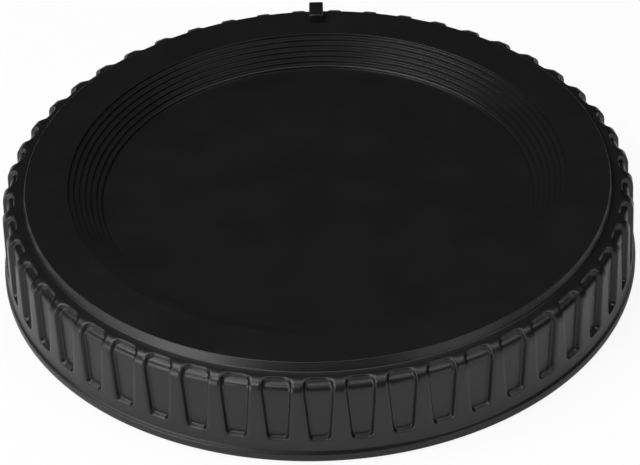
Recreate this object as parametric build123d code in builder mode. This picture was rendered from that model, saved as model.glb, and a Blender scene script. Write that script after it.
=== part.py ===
from build123d import *
import math
import os

# Camera body cap, moulded in one piece. Millimetres.
# Z is the cap's axis, z = 0 is the flat rim that it rests on, +Z points out of the dished face,
# and +Y points at the raised index bar.

# Overall size
overall_height = 9.72       # from the resting rim to the flat top annulus
lip_radius = 31.0           # foot of the grip, the widest place

# Grip wall, from the foot up
lip_height = 1.21           # plain band at the foot
lip_step = 0.25             # how far that band stands out from the wall
lip_chamfer = 0.25          # on its lower edge
wall_draft = 0.96           # degrees that the wall leans in towards the top
shoulder_radius = 1.2       # rounding between wall and ledge
ledge_width = 0.85          # flat ledge inside the shoulder
band_drop = 0.88            # height of the steep band between ledge and top annulus
band_run = 0.27             # how far the band leans inwards over that height

# Stepped dish in the top face
rim_width = 4.16            # flat annulus outside the dish
step_count = 7
step_run = 0.533            # radial width of one step
step_drop = 0.305           # height of one step

# Finger pockets round the wall
pocket_count = 50
pocket_depth = 0.45         # measured square to the wall and shoulder
pocket_angle = 5.0          # degrees between its sides, seen from above
pocket_foot_width = 1.9     # it narrows to this from the shoulder down
pocket_foot_height = 2.49   # height of the pocket's lower end above the resting rim

# Index bar on the top annulus
index_length = 2.49
index_width = 1.44
index_height = 1.0
index_rounding = 0.15       # on its two long upper edges
index_reach = 0.27          # how far its outer end stands out over the ledge

# Hollow underside
skirt_wall = 1.8            # wall under the shoulder
rim_wall = 1.6              # thickness of the top annulus
floor_wall = 1.5            # thickness of the dish floor
seat_margin = 0.9           # how far the flat for the camera's flange reaches outside the dish

# Bayonet collar with its lugs
collar_radius = 22.0
collar_wall = 1.5
collar_length = 3.6
collar_chamfer = 0.4
lug_count = 3
lug_angle = 52              # degrees that one lug covers
lug_reach = 1.2             # how far a lug stands out from the collar
lug_thickness = 1.3
lug_gap = 1.5               # from the seat to a lug: the camera's claws go here
lug_chamfer = 0.4

# Places that follow from the sizes above
ledge_z = overall_height - band_drop
shoulder_z = ledge_z - shoulder_radius
wall_lean = math.tan(math.radians(wall_draft))
foot_radius = lip_radius - lip_step
wall_radius = foot_radius - (shoulder_z - lip_height) * wall_lean
shoulder_centre = wall_radius - shoulder_radius
ledge_radius = shoulder_centre - ledge_width
plateau_radius = ledge_radius - band_run
dish_radius = plateau_radius - rim_width
seat_radius = dish_radius + seat_margin
seat_z = overall_height - step_count * step_drop - floor_wall
skirt_bore = wall_radius - skirt_wall
collar_bore = collar_radius - collar_wall
collar_end_z = seat_z - collar_length
lug_top_z = seat_z - lug_gap
lug_foot_z = lug_top_z - lug_thickness
clear = 1.0                 # how far a cutting block reaches past the surface that it cuts

# Blank: the outside turned about the axis, from the resting rim up to the top annulus
with BuildPart() as body_cap:
    with BuildSketch(Plane.XZ) as outside:
        with BuildLine():
            Polyline(
                (shoulder_centre, ledge_z),
                (ledge_radius, ledge_z),
                (plateau_radius, overall_height),
                (0, overall_height),
                (0, 0),
                (lip_radius, 0),
                (lip_radius, lip_height - lip_step),
                (foot_radius, lip_height),
                (wall_radius, shoulder_z),
            )
            RadiusArc((wall_radius, shoulder_z), (shoulder_centre, ledge_z), -shoulder_radius)
        make_face()
        chamfer(outside.vertices().group_by(Axis.Y)[0].sort_by(Axis.X)[-1], length=lip_chamfer)
    revolve(axis=Axis.Z)

    # Dish: round steps, each one narrower and deeper than the last
    for step in range(step_count):
        depth = (step + 1) * step_drop
        with BuildSketch(Plane.XY.offset(overall_height - depth)):
            Circle(dish_radius - step * step_run)
        extrude(amount=depth + clear, mode=Mode.SUBTRACT)

    # Hollow: a flat roof at the seat, with a deeper groove under the top annulus
    with BuildSketch(Plane.XZ):
        with BuildLine():
            Polyline(
                (0, -clear),
                (skirt_bore, -clear),
                (skirt_bore, overall_height - rim_wall),
                (seat_radius, overall_height - rim_wall),
                (seat_radius, seat_z),
                (0, seat_z),
                close=True,
            )
        make_face()
    revolve(axis=Axis.Z, mode=Mode.SUBTRACT)

    # Collar that reaches into the camera's throat
    with BuildSketch(Plane.XZ) as collar:
        with BuildLine():
            Polyline(
                (collar_bore, seat_z + floor_wall / 2),
                (collar_radius, seat_z + floor_wall / 2),
                (collar_radius, collar_end_z),
                (collar_bore, collar_end_z),
                close=True,
            )
        make_face()
        chamfer(collar.vertices().group_by(Axis.Y)[0].sort_by(Axis.X)[-1], length=collar_chamfer)
    revolve(axis=Axis.Z)

# One bayonet lug, centred on +Y
with BuildPart() as lug:
    with BuildSketch(Plane.XZ.rotated((0, 0, 90 - lug_angle / 2))) as lug_section:
        with BuildLine():
            Polyline(
                (collar_radius - collar_wall / 2, lug_foot_z),
                (collar_radius + lug_reach, lug_foot_z),
                (collar_radius + lug_reach, lug_top_z),
                (collar_radius - collar_wall / 2, lug_top_z),
                close=True,
            )
        make_face()
        chamfer(lug_section.vertices().sort_by(Axis.X)[-2:], length=lug_chamfer)
    revolve(axis=Axis.Z, revolution_arc=lug_angle)

# One finger pocket, as the block of air that it takes from the wall at +Y.
# Its floor lies a fixed depth under the wall and round the shoulder, and its top is open at the ledge.
pocket_floor_radius = wall_radius - pocket_depth
pocket_floor_foot = pocket_floor_radius + (shoulder_z - pocket_foot_height) * wall_lean
pocket_arc_radius = shoulder_radius - pocket_depth
pocket_half_tan = math.tan(math.radians(pocket_angle / 2))

with BuildPart() as pocket:
    with BuildSketch(Plane.YZ):
        with BuildLine():
            Polyline(
                (shoulder_centre, shoulder_z + pocket_arc_radius),
                (shoulder_centre, ledge_z + clear),
                (lip_radius + clear, ledge_z + clear),
                (lip_radius + clear, pocket_foot_height),
                (pocket_floor_foot, pocket_foot_height),
                (pocket_floor_radius, shoulder_z),
            )
            RadiusArc(
                (pocket_floor_radius, shoulder_z),
                (shoulder_centre, shoulder_z + pocket_arc_radius),
                -pocket_arc_radius,
            )
        make_face()
    extrude(amount=lip_radius * pocket_half_tan + clear, both=True)

    # Seen from above, its sides point at the axis
    outer_reach = lip_radius + 2 * clear
    with BuildSketch(Plane.XY):
        with BuildLine():
            Polyline(
                (-outer_reach * pocket_half_tan, outer_reach),
                (-shoulder_centre * pocket_half_tan, shoulder_centre),
                (shoulder_centre * pocket_half_tan, shoulder_centre),
                (outer_reach * pocket_half_tan, outer_reach),
                close=True,
            )
        make_face()
    extrude(amount=ledge_z + 2 * clear, mode=Mode.INTERSECT)

    # Seen from the front, it narrows from the shoulder down to its foot
    half_shoulder = wall_radius * pocket_half_tan
    half_foot = pocket_foot_width / 2
    with BuildSketch(Plane.XZ):
        with BuildLine():
            Polyline(
                (-half_foot, pocket_foot_height),
                (half_foot, pocket_foot_height),
                (half_shoulder, shoulder_z),
                (half_shoulder + clear, shoulder_z),
                (half_shoulder + clear, ledge_z + 2 * clear),
                (-half_shoulder - clear, ledge_z + 2 * clear),
                (-half_shoulder - clear, shoulder_z),
                (-half_shoulder, shoulder_z),
                close=True,
            )
        make_face()
    extrude(amount=-outer_reach, mode=Mode.INTERSECT)

# Index bar, on the top annulus at +Y
with BuildPart() as index_bar:
    with BuildSketch(Plane.XZ.offset(-plateau_radius - index_reach)) as bar_end:
        with Locations((0, overall_height - rim_wall / 2)):
            Rectangle(index_width, rim_wall / 2 + index_height, align=(Align.CENTER, Align.MIN))
        fillet(bar_end.vertices().group_by(Axis.Y)[-1], radius=index_rounding)
    extrude(amount=index_length)

# The lugs, the pockets and the bar are moulded with the rest
with body_cap:
    with PolarLocations(0, lug_count):
        add(lug.part)
    with PolarLocations(0, pocket_count):
        add(pocket.part, mode=Mode.SUBTRACT)
    add(index_bar.part)

body_cap.part.label = "body_cap"

os.makedirs("parts", exist_ok=True)
export_step(body_cap.part, "parts/body_cap.step")
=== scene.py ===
import math
import bpy
import numpy as np
from mathutils import Matrix, Vector


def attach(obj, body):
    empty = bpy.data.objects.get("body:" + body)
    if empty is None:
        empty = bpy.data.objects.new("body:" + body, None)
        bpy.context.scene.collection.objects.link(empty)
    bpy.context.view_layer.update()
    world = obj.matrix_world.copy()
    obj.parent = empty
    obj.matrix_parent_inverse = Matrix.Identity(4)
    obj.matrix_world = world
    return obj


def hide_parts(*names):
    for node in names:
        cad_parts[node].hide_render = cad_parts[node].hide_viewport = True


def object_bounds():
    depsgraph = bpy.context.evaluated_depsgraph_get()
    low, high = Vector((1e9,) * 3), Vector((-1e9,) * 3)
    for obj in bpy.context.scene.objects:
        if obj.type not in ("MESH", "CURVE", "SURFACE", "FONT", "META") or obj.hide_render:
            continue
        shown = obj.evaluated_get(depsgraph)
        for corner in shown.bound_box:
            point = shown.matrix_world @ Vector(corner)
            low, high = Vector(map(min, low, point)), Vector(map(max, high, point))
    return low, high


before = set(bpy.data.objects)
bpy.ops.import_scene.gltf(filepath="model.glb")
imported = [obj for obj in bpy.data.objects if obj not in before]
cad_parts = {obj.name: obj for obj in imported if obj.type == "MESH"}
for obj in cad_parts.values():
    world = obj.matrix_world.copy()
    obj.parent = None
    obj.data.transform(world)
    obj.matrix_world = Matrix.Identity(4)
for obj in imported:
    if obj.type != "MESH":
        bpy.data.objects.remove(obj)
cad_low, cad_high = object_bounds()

# Sizes of the cap are in millimetres, and this is one of them in metres
MM = 0.001

# Plastic of the whole cap
# One black moulding in a hard, slightly filled plastic. The mould was lightly blasted, which gives the
# cap a fine even grain with a soft sheen, and handling has left a few pale nicks and specks on its face.
plastic = bpy.data.materials.new("moulded_black_plastic")
plastic.use_nodes = True
tree = plastic.node_tree
shader = tree.nodes["Principled BSDF"]
shader.inputs["IOR"].default_value = 1.46
shader.inputs["Specular IOR Level"].default_value = 0.5
place = tree.nodes.new("ShaderNodeTexCoord")

# Fine grain: a small noise that lifts the surface by a few microns
grain = tree.nodes.new("ShaderNodeTexNoise")
grain.inputs["Scale"].default_value = 5200
grain.inputs["Detail"].default_value = 2
tree.links.new(place.outputs["Object"], grain.inputs["Vector"])
grain_bump = tree.nodes.new("ShaderNodeBump")
grain_bump.inputs["Strength"].default_value = 0.35
grain_bump.inputs["Distance"].default_value = 0.00002
tree.links.new(grain.outputs["Fac"], grain_bump.inputs["Height"])
tree.links.new(grain_bump.outputs["Normal"], shader.inputs["Normal"])

# Sheen: the roughness wanders a little, as plastic does that filled the mould unevenly
flow = tree.nodes.new("ShaderNodeTexNoise")
flow.inputs["Scale"].default_value = 160
flow.inputs["Detail"].default_value = 3
tree.links.new(place.outputs["Object"], flow.inputs["Vector"])
sheen = tree.nodes.new("ShaderNodeMapRange")
sheen.inputs["From Min"].default_value = 0.3
sheen.inputs["From Max"].default_value = 0.7
sheen.inputs["To Min"].default_value = 0.32
sheen.inputs["To Max"].default_value = 0.38
tree.links.new(flow.outputs["Fac"], sheen.inputs["Value"])
tree.links.new(sheen.outputs["Result"], shader.inputs["Roughness"])

# Nicks: rare small spots where the skin of the plastic is scuffed pale
specks = tree.nodes.new("ShaderNodeTexVoronoi")
specks.inputs["Scale"].default_value = 420
tree.links.new(place.outputs["Object"], specks.inputs["Vector"])
rare = tree.nodes.new("ShaderNodeMapRange")
rare.inputs["From Min"].default_value = 0.06
rare.inputs["From Max"].default_value = 0.03
tree.links.new(specks.outputs["Distance"], rare.inputs["Value"])
chosen = tree.nodes.new("ShaderNodeMath")
chosen.operation = "GREATER_THAN"
chosen.inputs[1].default_value = 0.93
tree.links.new(specks.outputs["Color"], chosen.inputs[0])
nick = tree.nodes.new("ShaderNodeMath")
nick.operation = "MULTIPLY"
tree.links.new(rare.outputs["Result"], nick.inputs[0])
tree.links.new(chosen.outputs["Value"], nick.inputs[1])
colour = tree.nodes.new("ShaderNodeMix")
colour.data_type = "RGBA"
colour.inputs["A"].default_value = (0.005, 0.005, 0.0056, 1)
colour.inputs["B"].default_value = (0.045, 0.045, 0.045, 1)
tree.links.new(nick.outputs["Value"], colour.inputs["Factor"])
tree.links.new(colour.outputs["Result"], shader.inputs["Base Color"])

# Body of the cap
# The round moulding itself: a flat rim with a dish of seven steps in it, a rounded shoulder, and a grip
# wall with 50 finger pockets, hollow behind, where a seat and a collar meet the camera. All one skin.
pocket_count = 50
index_height = 1.0
lip_radius = (cad_high.x - cad_low.x) / 2 / MM
top_z = (cad_high.z - cad_low.z) / MM - index_height
lip_height, lip_step, lip_chamfer = 1.21, 0.25, 0.25
wall_lean = math.tan(math.radians(0.96))
shoulder_radius, ledge_width = 1.2, 0.85
band_drop, band_run = 0.88, 0.27
rim_width = 4.16
step_count, step_run, step_drop = 7, 0.533, 0.305
skirt_wall, rim_wall, floor_wall, seat_margin = 1.8, 1.6, 1.5, 0.9
collar_radius, collar_wall, collar_length, collar_chamfer = 22.0, 1.5, 3.6, 0.4
ledge_z = top_z - band_drop
shoulder_z = ledge_z - shoulder_radius
wall_radius = lip_radius - lip_step - (shoulder_z - lip_height) * wall_lean
shoulder_centre = wall_radius - shoulder_radius
plateau_radius = shoulder_centre - ledge_width - band_run
dish_radius = plateau_radius - rim_width
skirt_bore = wall_radius - skirt_wall
roof_z = top_z - rim_wall
seat_z = top_z - step_count * step_drop - floor_wall
seat_radius = dish_radius + seat_margin

# Sizes of one pocket, and of the cell of skin that it sits in, which starts before the shoulder's line and
# ends below the pocket's foot
pocket_depth = 0.45
pocket_lean = math.tan(math.radians(5.0 / 2))
pocket_foot_z = 2.49
pocket_foot_half = 1.9 / 2
top_corner, foot_corner = 0.75, 0.4
rounding, inset = 0.07, 0.16
cell_edge, cell_margin = -0.2, 0.3

# How finely a pocket is meshed: cells across and down it, in half a corner and over the shoulder. Points that
# round to the same weld step are one.
across, along, corner_cells, shoulder_cells = 12, 20, 3, 5
columns = pocket_count * across
pitch = 2 * math.pi / pocket_count
weld_step = 0.0001


def softened(corners, cuts, count=4):
    """Rounds a profile: each corner becomes a parabola from a point `cut` before it to one `cut` after it."""
    before = np.roll(corners, 1, 0) - corners
    after = np.roll(corners, -1, 0) - corners
    before /= np.linalg.norm(before, axis=1, keepdims=True) + 1e-12
    after /= np.linalg.norm(after, axis=1, keepdims=True) + 1e-12
    start = corners + before * cuts[:, None]
    stop = corners + after * cuts[:, None]
    t = np.linspace(0, 1, count)[None, :, None]
    curve = (1 - t) ** 2 * start[:, None] + 2 * t * (1 - t) * corners[:, None] + t ** 2 * stop[:, None]
    return curve.reshape(-1, 2)


def turned(profile, angles):
    """Turns a profile of (radius, height) about Z: x = radius cos a, y = radius sin a, z = height."""
    radius, height = profile[:, 0, None], profile[:, 1, None]
    return np.stack([radius * np.cos(angles), radius * np.sin(angles), height + 0 * angles], -1)


def grid_faces(rows, cols, wrap):
    """Quads between neighbouring rows and columns of a grid, numbered row by row. With wrap, the last column
    also joins the first."""
    r = np.arange(rows - 1)[:, None]
    c = np.arange(cols if wrap else cols - 1)[None, :]
    d = (c + 1) % cols
    quads = np.stack([r * cols + c, (r + 1) * cols + c, (r + 1) * cols + d, r * cols + d], -1)
    return quads.reshape(-1, 4)


def skin(name, parts):
    """Makes one closed object of grids of points in millimetres. Points that round to the same weld step
    become one, and a face then keeps only those corners that differ from the next."""
    points = np.concatenate([grid.reshape(-1, 3) for grid, _ in parts])
    starts = np.cumsum([0] + [grid.size // 3 for grid, _ in parts[:-1]])
    quads = np.concatenate([own + start for (_, own), start in zip(parts, starts)])
    keys = np.round(points / weld_step).astype(np.int64)
    _, first, index = np.unique(keys, axis=0, return_index=True, return_inverse=True)
    points = points[first]
    quads = index.reshape(-1)[quads]
    keep = quads != np.roll(quads, -1, 1)
    size = keep.sum(1)
    whole = size >= 3
    corners = quads[whole[:, None] & keep]
    face_starts = np.concatenate([[0], np.cumsum(size[whole])[:-1]])
    mesh = bpy.data.meshes.new(name)
    mesh.vertices.add(len(points))
    mesh.vertices.foreach_set("co", (points * MM).ravel())
    mesh.loops.add(len(corners))
    mesh.loops.foreach_set("vertex_index", corners.astype(np.int32))
    mesh.polygons.add(len(face_starts))
    mesh.polygons.foreach_set("loop_start", face_starts.astype(np.int32))
    mesh.update(calc_edges=True)
    mesh.validate()
    mesh.shade_smooth()
    mesh.materials.append(plastic)
    piece = bpy.data.objects.new(name, mesh)
    bpy.context.collection.objects.link(piece)
    flats = piece.modifiers.new("flat faces stay flat", "WEIGHTED_NORMAL")
    flats.mode = "FACE_AREA"
    flats.weight = 50
    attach(piece, "root")
    return piece


# Its dished face, from the middle out to the ledge, where the pockets take over. Each edge has its own small
# rounding, and the innermost, round the floor, is the softest.
step_cut, innermost_cut, rim_cut, band_cut = 0.04, 0.13, 0.07, 0.1
step = np.arange(step_count)[::-1]
riser = dish_radius - step * step_run
low_corner = np.stack([riser, top_z - (step + 1) * step_drop], 1)
high_corner = np.stack([riser, top_z - step * step_drop], 1)
stairs = np.stack([low_corner, high_corner], 1).reshape(-1, 2)
face_corners = np.concatenate([
    [[0, top_z - step_count * step_drop]],
    stairs,
    [[plateau_radius, top_z], [shoulder_centre - ledge_width, ledge_z], [shoulder_centre, ledge_z]],
])
face_cuts = np.concatenate([[0], np.full(2 * step_count, step_cut), [rim_cut, band_cut, 0]])
face_cuts[2] = innermost_cut
face_profile = softened(face_corners, face_cuts)[3:-4]
face_profile[0] = face_corners[0]
face_profile = np.concatenate([face_profile, [[shoulder_centre + cell_edge, ledge_z]]])
angles = np.arange(columns) * pitch / across
face = turned(face_profile, angles)

# Its grip, whose skin is measured by the distance s down from the ledge's edge
arc = shoulder_radius * math.pi / 2
lean = math.hypot(1, wall_lean)
foot_s = arc + (shoulder_z - pocket_foot_z) * lean
cell_foot = foot_s + cell_margin


def outside(s, depth):
    """A point of the grip's skin: s millimetres down from the ledge, over the shoulder, then straight down
    the leaning wall, and sunk square to that line by depth. Returns its radius and height."""
    turn = np.clip(s, 0, arc) / shoulder_radius
    fall = np.clip(s - arc, 0, None) / lean
    on_wall = s > arc + 1e-9
    out = np.where(on_wall, 1 / lean, np.sin(turn))
    up = np.where(on_wall, wall_lean / lean, np.cos(turn))
    radius = shoulder_centre + np.minimum(s, 0) + shoulder_radius * np.sin(turn) + fall * wall_lean
    height = shoulder_z + shoulder_radius * np.cos(turn) - fall
    return radius - depth * out, height - depth * up


# Its lip, open rim, bore, seat and collar, from below the pockets back to the middle. Each corner has a
# radius, a height and how far it is rounded.
below = np.stack(outside(np.array([cell_foot]), 0), -1)
under_corners = np.array([
    [below[0, 0], below[0, 1], 0],
    [lip_radius - lip_step, lip_height, 0.1],
    [lip_radius, lip_height - lip_step, 0.08],
    [lip_radius, lip_chamfer, 0.06],
    [lip_radius - lip_chamfer, 0, 0.06],
    [skirt_bore, 0, 0.1],
    [skirt_bore, roof_z, 0.3],
    [seat_radius, roof_z, 0.3],
    [seat_radius, seat_z, 0.08],
    [collar_radius, seat_z, 0.12],
    [collar_radius, seat_z - collar_length + collar_chamfer, 0.06],
    [collar_radius - collar_chamfer, seat_z - collar_length, 0.06],
    [collar_radius - collar_wall, seat_z - collar_length, 0.1],
    [collar_radius - collar_wall, seat_z, 0.2],
    [0, seat_z, 0],
])
under_profile = softened(under_corners[:, :2], under_corners[:, 2], 3)[3:-3]
under_profile = np.concatenate([below, under_profile, under_corners[-1:, :2]])
under = turned(under_profile, angles)


# Its pockets: each cell is a frame of loops that starts square, turns into the pocket's rounded outline, and
# goes down its side walls, and then a patch for the pocket's floor
def outline(offset):
    """The pocket's outline, moved out by offset: two straight flanks that close in towards the foot, a
    straight top and foot, and a quarter circle at each corner. Returns distance down the skin and angle."""
    half_arc = np.linspace(0, 1, corner_cells + 1) * math.pi / 4
    steps_top = np.linspace(top_corner, arc, shoulder_cells + 1)
    wall_cells = along - 2 * corner_cells - shoulder_cells
    steps_wall = np.linspace(arc, foot_s - foot_corner, wall_cells + 1)[1:]
    flank = np.concatenate([steps_top, steps_wall])
    side = np.concatenate([
        top_corner * (1 - np.cos(math.pi / 4 + half_arc[:-1])),
        flank,
        foot_s - foot_corner * (1 - np.cos(math.pi / 2 - half_arc[1:])),
    ])
    lie_s = np.concatenate([
        -np.cos(math.pi / 4 + half_arc[:-1]),
        0 * flank,
        np.cos(math.pi / 2 - half_arc[1:]),
    ])
    lie_t = np.sqrt(1 - lie_s ** 2)
    radius = outside(np.clip(side, 0, arc), 0)[0]
    wide = radius * pocket_lean
    narrow = (np.clip(side, arc, None) - arc) / (foot_s - arc)
    half = wide + (pocket_foot_half - wall_radius * pocket_lean) * narrow
    corner = np.where(side < top_corner, top_corner, np.where(side > foot_s - foot_corner, foot_corner, 0))
    half = half - corner * (1 - lie_t)
    right = np.stack([side + offset * lie_s, half + offset * lie_t], 1)
    top_half = shoulder_centre * pocket_lean - top_corner
    foot_half = pocket_foot_half - foot_corner
    tops = np.stack([
        top_corner - (top_corner + offset) * np.cos(half_arc),
        top_half + (top_corner + offset) * np.sin(half_arc),
    ], 1)
    feet = np.stack([
        foot_s - foot_corner + (foot_corner + offset) * np.cos(half_arc),
        foot_half + (foot_corner + offset) * np.sin(half_arc),
    ], 1)
    middle_cells = across - 2 * corner_cells
    middle = np.arange(1, middle_cells) / middle_cells * 2 - 1
    top_line = np.stack([0 * middle - offset, top_half * middle], 1)
    foot_line = np.stack([0 * middle + foot_s + offset, foot_half * middle], 1)
    mirror = np.array([1, -1])
    loop_top = np.concatenate([tops[::-1] * mirror, top_line, tops])
    loop_foot = np.concatenate([feet[::-1] * mirror, foot_line, feet])
    loop = np.concatenate([loop_top[:-1], right, loop_foot[::-1][1:-1], (right * mirror)[::-1][:-1]])
    loop[across] = right[0]
    radius = outside(loop[:, 0], 0)[0]
    return np.stack([loop[:, 0], loop[:, 1] / radius], 1)


# The cell's square frame has as many points on each side as the outline has between its corners
rim_loop = outline(rounding)
flank_start = across + corner_cells
flank_stop = across + along - corner_cells
line_s = np.concatenate([
    np.linspace(cell_edge, rim_loop[flank_start, 0], corner_cells + 1)[:-1],
    rim_loop[flank_start:flank_stop + 1, 0],
    np.linspace(rim_loop[flank_stop, 0], cell_foot, corner_cells + 1)[1:],
])
line_a = np.linspace(-pitch / 2, pitch / 2, across + 1)
frame_loop = np.concatenate([
    np.stack([0 * line_a[:-1] + cell_edge, line_a[:-1]], 1),
    np.stack([line_s, 0 * line_s + pitch / 2], 1),
    np.stack([0 * line_a[1:-1] + cell_foot, line_a[::-1][1:-1]], 1),
    np.stack([line_s[::-1][:-1], 0 * line_s[:-1] - pitch / 2], 1),
])

# The side walls go from the rounding outside the outline to the inset inside it, and sink as a smooth step
wall_share = np.array([0, 0.15, 0.35, 0.65, 0.85, 1])
loops = np.stack([frame_loop, (frame_loop + rim_loop) / 2]
                 + [outline(rounding - share * (rounding + inset)) for share in wall_share])
sunk = np.concatenate([[0, 0], wall_share ** 2 * (3 - 2 * wall_share)]) * pocket_depth
sunk = sunk[:, None] + 0 * loops[..., 0]

# The floor's patch is spanned between the last loop's four sides: a point is what the two pairs of opposite
# sides give there, added up, less what the four corners give
last = loops[-1]
top_side = last[:across + 1]
right_side = last[across:across + along + 1]
foot_side = last[across + along:2 * across + along + 1][::-1]
left_side = np.concatenate([last[2 * across + along:], last[:1]])[::-1]
u = np.linspace(0, 1, across + 1)[None, :, None]
down = (right_side[:, 0] - right_side[0, 0]) / (right_side[-1, 0] - right_side[0, 0])
v = down[:, None, None]
floor_patch = ((1 - v) * top_side[None] + v * foot_side[None]
               + (1 - u) * left_side[:, None] + u * right_side[:, None]
               - (1 - u) * (1 - v) * top_side[0] - u * (1 - v) * top_side[-1]
               - (1 - u) * v * foot_side[0] - u * v * foot_side[-1])


def round_the_cap(patch, depth):
    """Lays a patch of (distance down the skin, angle) on the cap once for each pocket."""
    radius, height = outside(patch[..., 0], depth)
    centre = (math.pi / 2 + np.arange(pocket_count) * pitch).reshape(-1, *[1] * radius.ndim)
    angle = patch[..., 1][None] + centre
    return np.stack([radius * np.cos(angle), radius * np.sin(angle), height + 0 * angle], -1)


walls = round_the_cap(loops, sunk)
floors = round_the_cap(floor_patch, pocket_depth)
wall_quads = grid_faces(loops.shape[0], loops.shape[1], True)
floor_quads = grid_faces(along + 1, across + 1, False)
each = np.arange(pocket_count)[:, None, None]
wall_quads = (wall_quads[None] + each * loops[..., 0].size).reshape(-1, 4)
floor_quads = (floor_quads[None] + each * floor_patch[..., 0].size).reshape(-1, 4)

body = skin("cap_body", [
    (face, grid_faces(len(face_profile), columns, True)),
    (walls, wall_quads),
    (floors, floor_quads),
    (under, grid_faces(len(under_profile), columns, True)),
])
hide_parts("body_cap")

# Index bar
# The raised bar that a thumb finds in the dark, to line the cap up with the mount. It is moulded with the
# cap, with its foot in the flat rim and its outer end over the ledge.
index_length, index_width, index_reach, index_foot = 2.49, 1.44, 0.27, 0.8
index_edge, edge_points = 0.13, 4


def bar_skin(width, length, base, top, front):
    """A rounded rectangle carried along Y, which draws in by the edge radius over each end as a quarter
    circle does, and then closes to the middle of the end."""
    quarter = np.linspace(0, math.pi / 2, edge_points)
    corner = np.concatenate([quarter, quarter + math.pi / 2])
    sign = np.repeat([1, -1], edge_points)
    half = width / 2 - index_edge
    x = np.concatenate([[width / 2], sign * half + index_edge * np.cos(corner), [-width / 2]])
    z = np.concatenate([[base], top - index_edge + index_edge * np.sin(corner), [base]])
    turn = np.linspace(0, math.pi / 2, edge_points + 1)
    closing = index_edge * (1 - np.sin(turn))
    opening = index_edge * (1 - np.cos(turn))
    shrink = np.concatenate([[index_edge], closing, opening, [index_edge]])
    y = front + np.concatenate([[0], opening, length - closing, [length]])
    centre = (base + top) / 2
    scale_x = (width / 2 - shrink) / (width / 2)
    scale_z = (top - centre - shrink) / (top - centre)
    scale_x[[0, -1]] = 0
    scale_z[[0, -1]] = 0
    return np.stack([
        x[None] * scale_x[:, None],
        y[:, None] + 0 * x[None],
        centre + (z[None] - centre) * scale_z[:, None],
    ], -1)


index_front = plateau_radius + index_reach - index_length
bar = bar_skin(index_width, index_length, top_z - index_foot, top_z + index_height, index_front)
skin("index_bar", [(bar, grid_faces(bar.shape[0], bar.shape[1], True))])

# Bayonet lugs
# Three curved claws on the collar that turn in behind the camera's mount and hold the cap on. Each is one
# section with bevelled outer edges, carried round the axis, and drawn to its middle at both ends to close it.
lug_count, lug_angle, lug_reach, lug_root = 3, math.radians(52), 1.2, 0.5
lug_thickness, lug_gap, lug_chamfer = 1.3, 1.5, 0.4
lug_cut, root_cut, lug_cells = 0.08, 0.01, 40
lug_top = seat_z - lug_gap
lug_corners = np.array([
    [collar_radius - lug_root, lug_top - lug_thickness],
    [collar_radius + lug_reach - lug_chamfer, lug_top - lug_thickness],
    [collar_radius + lug_reach, lug_top - lug_thickness + lug_chamfer],
    [collar_radius + lug_reach, lug_top - lug_chamfer],
    [collar_radius + lug_reach - lug_chamfer, lug_top],
    [collar_radius - lug_root, lug_top],
])
lug_section = softened(lug_corners, np.array([root_cut, lug_cut, lug_cut, lug_cut, lug_cut, root_cut]))
lug_sweep = np.concatenate([[-0.5], np.linspace(-0.5, 0.5, lug_cells + 1), [0.5]]) * lug_angle
lug_shrink = np.ones(lug_sweep.size)
lug_shrink[[0, -1]] = 0
lug_middle = lug_section.mean(0)
lug_ring = lug_middle + (lug_section - lug_middle)[None] * lug_shrink[:, None, None]
lug_turn = (math.pi / 2 + lug_sweep + np.arange(lug_count)[:, None] * 2 * math.pi / lug_count)[..., None]
lugs = np.stack([
    lug_ring[None, ..., 0] * np.cos(lug_turn),
    lug_ring[None, ..., 0] * np.sin(lug_turn),
    lug_ring[None, ..., 1] + 0 * lug_turn,
], -1)
lug_quads = grid_faces(lug_sweep.size, len(lug_section), True)[None]
lug_quads = lug_quads + np.arange(lug_count)[:, None, None] * lug_sweep.size * len(lug_section)
skin("bayonet_lugs", [(lugs, lug_quads.reshape(-1, 4))])

# Table
# A plain white sweep, such as small products are laid on. It isn't part of the cap. To the camera it is
# nearly white, and it keeps the cap's soft shadow.
table_mesh = bpy.data.meshes.new("table")
reach = 1.5
table_mesh.from_pydata([(-reach, -reach, 0), (reach, -reach, 0), (reach, reach, 0), (-reach, reach, 0)],
                       [], [(0, 1, 2, 3)])
table = bpy.data.objects.new("table", table_mesh)
bpy.context.collection.objects.link(table)
paper = bpy.data.materials.new("white_sweep")
paper.use_nodes = True
paper_tree = paper.node_tree
paper_shader = paper_tree.nodes["Principled BSDF"]
paper_shader.inputs["Base Color"].default_value = (0.86, 0.86, 0.86, 1)
paper_shader.inputs["Roughness"].default_value = 0.9
bright = paper_tree.nodes.new("ShaderNodeEmission")
bright.inputs["Strength"].default_value = 1
seen = paper_tree.nodes.new("ShaderNodeLightPath")
share = paper_tree.nodes.new("ShaderNodeMath")
share.operation = "MULTIPLY"
share.inputs[1].default_value = 0.9
paper_tree.links.new(seen.outputs["Is Camera Ray"], share.inputs[0])
blend = paper_tree.nodes.new("ShaderNodeMixShader")
paper_tree.links.new(share.outputs["Value"], blend.inputs["Fac"])
paper_tree.links.new(paper_shader.outputs["BSDF"], blend.inputs[1])
paper_tree.links.new(bright.outputs["Emission"], blend.inputs[2])
paper_tree.links.new(blend.outputs["Shader"], paper_tree.nodes["Material Output"].inputs["Surface"])
table_mesh.materials.append(paper)

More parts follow.
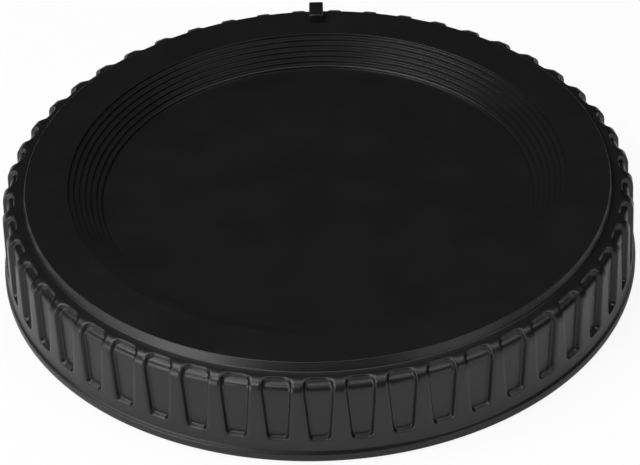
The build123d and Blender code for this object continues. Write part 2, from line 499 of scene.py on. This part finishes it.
# Studio light
# Ten soft boxes in a dark room: high ones on the left, right and front, a row of low ones round the front,
# one overhead and two faint ones behind. The room is white only where the camera looks at it.
world = bpy.data.worlds.new("studio")
bpy.context.scene.world = world
world.use_nodes = True
air = world.node_tree
room = air.nodes["Background"]
room.inputs["Color"].default_value = (0.004, 0.004, 0.0044, 1)
white = air.nodes.new("ShaderNodeBackground")
white.inputs["Color"].default_value = (1, 1, 1, 1)
ray = air.nodes.new("ShaderNodeLightPath")
either = air.nodes.new("ShaderNodeMixShader")
air.links.new(ray.outputs["Is Camera Ray"], either.inputs["Fac"])
air.links.new(room.outputs["Background"], either.inputs[1])
air.links.new(white.outputs["Background"], either.inputs[2])
air.links.new(either.outputs["Shader"], air.nodes["World Output"].inputs["Surface"])
lamp_distance = 0.55


def soft_box(name, azimuth, elevation, power, size=0.26):
    """A square lamp on a sphere round the cap, facing it. Angles are in degrees, and the size in metres."""
    lamp = bpy.data.lights.new(name, "AREA")
    lamp.size = size
    lamp.energy = power
    stand = bpy.data.objects.new(name, lamp)
    bpy.context.collection.objects.link(stand)
    a, e = math.radians(azimuth), math.radians(elevation)
    at = Vector((math.cos(a) * math.cos(e), math.sin(a) * math.cos(e), math.sin(e))) * lamp_distance
    stand.location = at
    stand.rotation_euler = at.to_track_quat("Z", "Y").to_euler()


soft_box("left_high_box", 178, 62, 1.4)
soft_box("right_high_box", 2, 62, 0.54)
soft_box("front_right_high_box", 315, 62, 0.2)
soft_box("left_low_box", 200, 8, 0.64)
soft_box("front_left_low_box", 225, 8, 1.2)
soft_box("front_right_low_box", 315, 8, 0.38)
soft_box("top_box", 90, 88, 0.42)
soft_box("front_left_high_box", 235, 50, 0.8, size=0.14)
soft_box("back_box", 90, 65, 0.04)
soft_box("back_low_box", 90, 10, 0.028)

# Camera
# It stands 300 mm in front of the cap and looks down on it at 38 degrees, through a long lens. Its aim is
# measured from the middle of the cap's top.
camera_data = bpy.data.cameras.new("camera")
camera_data.sensor_width = 36
camera_data.sensor_fit = "HORIZONTAL"
camera_data.lens = 178.43
camera = bpy.data.objects.new("camera", camera_data)
bpy.context.collection.objects.link(camera)
camera_distance = 300
look_down = math.radians(37.749)
turn_round = math.radians(1.093)
tilt = math.radians(-2.108)
aim = Vector((0.084, -9.28, 0)) * MM
back_off = Vector((0, -math.cos(look_down), math.sin(look_down))) * camera_distance * MM
stand_at = Matrix.Rotation(turn_round, 4, "Z") @ Matrix.Translation(aim + back_off)
camera.matrix_world = (Matrix.Translation((0, 0, top_z * MM)) @ stand_at
                       @ Matrix.Rotation(math.pi / 2 - look_down, 4, "X") @ Matrix.Rotation(tilt, 4, "Z"))
bpy.context.scene.camera = camera
bpy.context.scene.view_settings.view_transform = "Standard"
